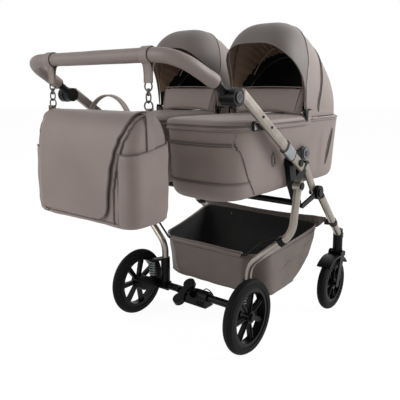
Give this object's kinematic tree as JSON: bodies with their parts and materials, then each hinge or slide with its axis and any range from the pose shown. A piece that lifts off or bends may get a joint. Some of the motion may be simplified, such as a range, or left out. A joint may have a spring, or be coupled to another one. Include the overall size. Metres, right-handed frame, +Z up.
{
  "type": "twin pram",
  "caption": "Side-by-side twin pram with carrycots under folding hoods, a folding tube chassis, sprung rear wheels, swivel front wheels, basket and changing bag.",
  "frame": {"origin": "middle of the pram's box, on the floor", "axes": "+Z up, +Y the way it travels, +X to the pusher's right"},
  "size_m": [0.75, 1.0954, 1.0929],
  "materials": {
    "tyre": "matt moulded tyre",
    "rim": "satin black moulding",
    "black_plastic": "satin black moulding",
    "champagne_tube": "satin champagne anodised",
    "black_metal": "black powder coat",
    "spring_steel": "plated wire",
    "silver_trim": "satin chrome",
    "adapter_grey": "grey moulding",
    "button_blue": "dark button",
    "leather_grip": "stitched grained leather",
    "taupe_fabric": "taupe leatherette cloth",
    "mattress_cloth": "soft pale jersey",
    "bag_cloth": "taupe leatherette"
  },
  "bodies": {
    "chassis": {"lower_tubes": "champagne_tube", "knuckles": "black_plastic", "adapters": "adapter_grey", "cross_bar": "black_metal"},
    "push_frame": {"main_tubes": "champagne_tube", "hinge_housings": "black_plastic"},
    "handle": {"handle_arms": "black_plastic", "handle_grip": "leather_grip"},
    "bag": {"bag_body": "bag_cloth", "bag_handle": "bag_cloth", "hang_straps": "bag_cloth"},
    "bag_flap": {"bag_flap": "bag_cloth"},
    "rear_frame": {"rear_legs": "champagne_tube", "leg_sleeves": "black_plastic", "axle_beam": "black_metal", "brake_housing": "black_plastic", "brake_cable": "black_plastic", "coil_spring_l": "spring_steel", "coil_spring_r": "spring_steel", "basket": "taupe_fabric", "basket_hoop": "black_metal", "basket_band": "taupe_fabric"},
    "brake_pedal": {"brake_pedal": "black_plastic"},
    "front_frame": {"front_legs": "champagne_tube", "front_hinge_discs": "black_plastic", "stay_links": "black_metal", "caster_housings": "black_plastic", "basket_straps": "black_metal"},
    "rear_arm_l": {"swing_arm_l": "black_plastic"},
    "rear_wheel_l": {"rear_tyre_l": "tyre", "rear_rim_l": "rim"},
    "fork_l": {"fork_l": "black_plastic"},
    "front_wheel_l": {"front_tyre_l": "tyre", "front_rim_l": "rim"},
    "swivel_toggle_l": {"swivel_toggle_l": "black_plastic"},
    "lock_sleeve_l": {"lock_sleeve_l": "silver_trim"},
    "tilt_button_l": {"tilt_button_l": "silver_trim"},
    "adapter_button_l": {"adapter_button_l": "button_blue"},
    "cot_l": {"cot_shell_l": "taupe_fabric", "mattress_l": "mattress_cloth", "apron_l": "taupe_fabric", "hood_l": "taupe_fabric"},
    "wind_flap_l": {"wind_flap_l": "taupe_fabric"},
    "visor_l": {"visor_l": "taupe_fabric"},
    "rear_arm_r": {"swing_arm_r": "black_plastic"},
    "rear_wheel_r": {"rear_tyre_r": "tyre", "rear_rim_r": "rim"},
    "fork_r": {"fork_r": "black_plastic"},
    "front_wheel_r": {"front_tyre_r": "tyre", "front_rim_r": "rim"},
    "swivel_toggle_r": {"swivel_toggle_r": "black_plastic"},
    "lock_sleeve_r": {"lock_sleeve_r": "silver_trim"},
    "tilt_button_r": {"tilt_button_r": "silver_trim"},
    "adapter_button_r": {"adapter_button_r": "button_blue"},
    "cot_r": {"cot_shell_r": "taupe_fabric", "mattress_r": "mattress_cloth", "apron_r": "taupe_fabric", "hood_r": "taupe_fabric"},
    "wind_flap_r": {"wind_flap_r": "taupe_fabric"},
    "visor_r": {"visor_r": "taupe_fabric"}
  },
  "joints": [
    {"name": "frame_fold", "type": "hinge", "parent": "chassis", "child": "push_frame", "pos_m": [0, 0.06899, 0.63128], "axis": [1, 0, 0], "range_deg": [-70, 0]},
    {"name": "rear_leg_fold", "type": "hinge", "parent": "chassis", "child": "rear_frame", "pos_m": [0, 0.09025, 0.552], "axis": [1, 0, 0], "range_deg": [0, 10]},
    {"name": "front_leg_fold", "type": "hinge", "parent": "chassis", "child": "front_frame", "pos_m": [0, 0.25225, 0.503], "axis": [1, 0, 0], "range_deg": [-10, 0]},
    {"name": "handle_tilt", "type": "hinge", "parent": "push_frame", "child": "handle", "pos_m": [0, -0.29075, 0.848], "axis": [1, 0, 0], "range_deg": [-30, 0]},
    {"name": "bag_swing", "type": "hinge", "parent": "handle", "child": "bag", "pos_m": [0, -0.46975, 0.954], "axis": [1, 0, 0], "range_deg": [-12, 12]},
    {"name": "bag_flap_open", "type": "hinge", "parent": "bag", "child": "bag_flap", "pos_m": [0.015, -0.44375, 0.808], "axis": [1, 0, 0], "range_deg": [-40, 0]},
    {"name": "brake_pedal_rock", "type": "hinge", "parent": "rear_frame", "child": "brake_pedal", "pos_m": [-0.058, -0.01175, 0.115], "axis": [1, 0, 0], "range_deg": [-14, 14]},
    {"name": "suspension_l", "type": "hinge", "parent": "rear_frame", "child": "rear_arm_l", "pos_m": [-0.2227, 0.03025, 0.097], "axis": [-1, 0, 0], "range_deg": [0, 7], "stiffness_Nm_per_rad": 120, "springref_deg": -20.05, "deforming": ["coil_spring_l"]},
    {"name": "rear_wheel_spin_l", "type": "hinge", "parent": "rear_arm_l", "child": "rear_wheel_l", "pos_m": [-0.256, -0.05975, 0.125], "axis": [1, 0, 0], "continuous": true},
    {"name": "fork_swivel_l", "type": "hinge", "parent": "front_frame", "child": "fork_l", "pos_m": [-0.318, 0.49625, 0.26], "axis": [0, 0, 1], "continuous": true},
    {"name": "front_wheel_spin_l", "type": "hinge", "parent": "fork_l", "child": "front_wheel_l", "pos_m": [-0.318, 0.44525, 0.1025], "axis": [1, 0, 0], "continuous": true},
    {"name": "swivel_lock_l", "type": "hinge", "parent": "front_frame", "child": "swivel_toggle_l", "pos_m": [-0.318, 0.51925, 0.2823], "axis": [1, 0, 0], "range_deg": [-60, 0]},
    {"name": "sleeve_slide_l", "type": "slide", "parent": "push_frame", "child": "lock_sleeve_l", "axis": [0, -0.8244, 0.566], "range_m": [0, 0.014], "stiffness_N_per_m": 400, "springref_m": -0.02},
    {"name": "tilt_button_press_l", "type": "slide", "parent": "push_frame", "child": "tilt_button_l", "axis": [1, 0, 0], "range_m": [0, 0.003], "stiffness_N_per_m": 600, "springref_m": -0.004},
    {"name": "adapter_button_press_l", "type": "slide", "parent": "chassis", "child": "adapter_button_l", "axis": [1, 0, 0], "range_m": [0, 0.003], "stiffness_N_per_m": 600, "springref_m": -0.004},
    {"name": "cot_lift_l", "type": "slide", "parent": "chassis", "child": "cot_l", "axis": [0, 0, 1], "range_m": [0, 0.05]},
    {"name": "wind_flap_fold_l", "type": "hinge", "parent": "cot_l", "child": "wind_flap_l", "pos_m": [-0.1835, 0.15135, 0.78585], "axis": [1, 0, 0], "range_deg": [0, 60]},
    {"name": "visor_pull_l", "type": "hinge", "parent": "cot_l", "child": "visor_l", "pos_m": [-0.1835, 0.16225, 0.79], "axis": [1, 0, 0], "range_deg": [0, 15]},
    {"name": "suspension_r", "type": "hinge", "parent": "rear_frame", "child": "rear_arm_r", "pos_m": [0.2227, 0.03025, 0.097], "axis": [-1, 0, 0], "range_deg": [0, 7], "stiffness_Nm_per_rad": 120, "springref_deg": -20.05, "deforming": ["coil_spring_r"]},
    {"name": "rear_wheel_spin_r", "type": "hinge", "parent": "rear_arm_r", "child": "rear_wheel_r", "pos_m": [0.256, -0.05975, 0.125], "axis": [1, 0, 0], "continuous": true},
    {"name": "fork_swivel_r", "type": "hinge", "parent": "front_frame", "child": "fork_r", "pos_m": [0.318, 0.49625, 0.26], "axis": [0, 0, 1], "continuous": true},
    {"name": "front_wheel_spin_r", "type": "hinge", "parent": "fork_r", "child": "front_wheel_r", "pos_m": [0.318, 0.44525, 0.1025], "axis": [1, 0, 0], "continuous": true},
    {"name": "swivel_lock_r", "type": "hinge", "parent": "front_frame", "child": "swivel_toggle_r", "pos_m": [0.318, 0.51925, 0.2823], "axis": [1, 0, 0], "range_deg": [-60, 0]},
    {"name": "sleeve_slide_r", "type": "slide", "parent": "push_frame", "child": "lock_sleeve_r", "axis": [0, -0.8244, 0.566], "range_m": [0, 0.014], "stiffness_N_per_m": 400, "springref_m": -0.02},
    {"name": "tilt_button_press_r", "type": "slide", "parent": "push_frame", "child": "tilt_button_r", "axis": [-1, 0, 0], "range_m": [0, 0.003], "stiffness_N_per_m": 600, "springref_m": -0.004},
    {"name": "adapter_button_press_r", "type": "slide", "parent": "chassis", "child": "adapter_button_r", "axis": [-1, 0, 0], "range_m": [0, 0.003], "stiffness_N_per_m": 600, "springref_m": -0.004},
    {"name": "cot_lift_r", "type": "slide", "parent": "chassis", "child": "cot_r", "axis": [0, 0, 1], "range_m": [0, 0.05]},
    {"name": "wind_flap_fold_r", "type": "hinge", "parent": "cot_r", "child": "wind_flap_r", "pos_m": [0.1835, 0.15135, 0.78585], "axis": [1, 0, 0], "range_deg": [0, 60]},
    {"name": "visor_pull_r", "type": "hinge", "parent": "cot_r", "child": "visor_r", "pos_m": [0.1835, 0.16225, 0.79], "axis": [1, 0, 0], "range_deg": [0, 15]}
  ],
  "couplings": [
    {"joint": "rear_leg_fold", "follows": "frame_fold", "ratio": -0.14286},
    {"joint": "front_leg_fold", "follows": "frame_fold", "ratio": 0.14286}
  ]
}
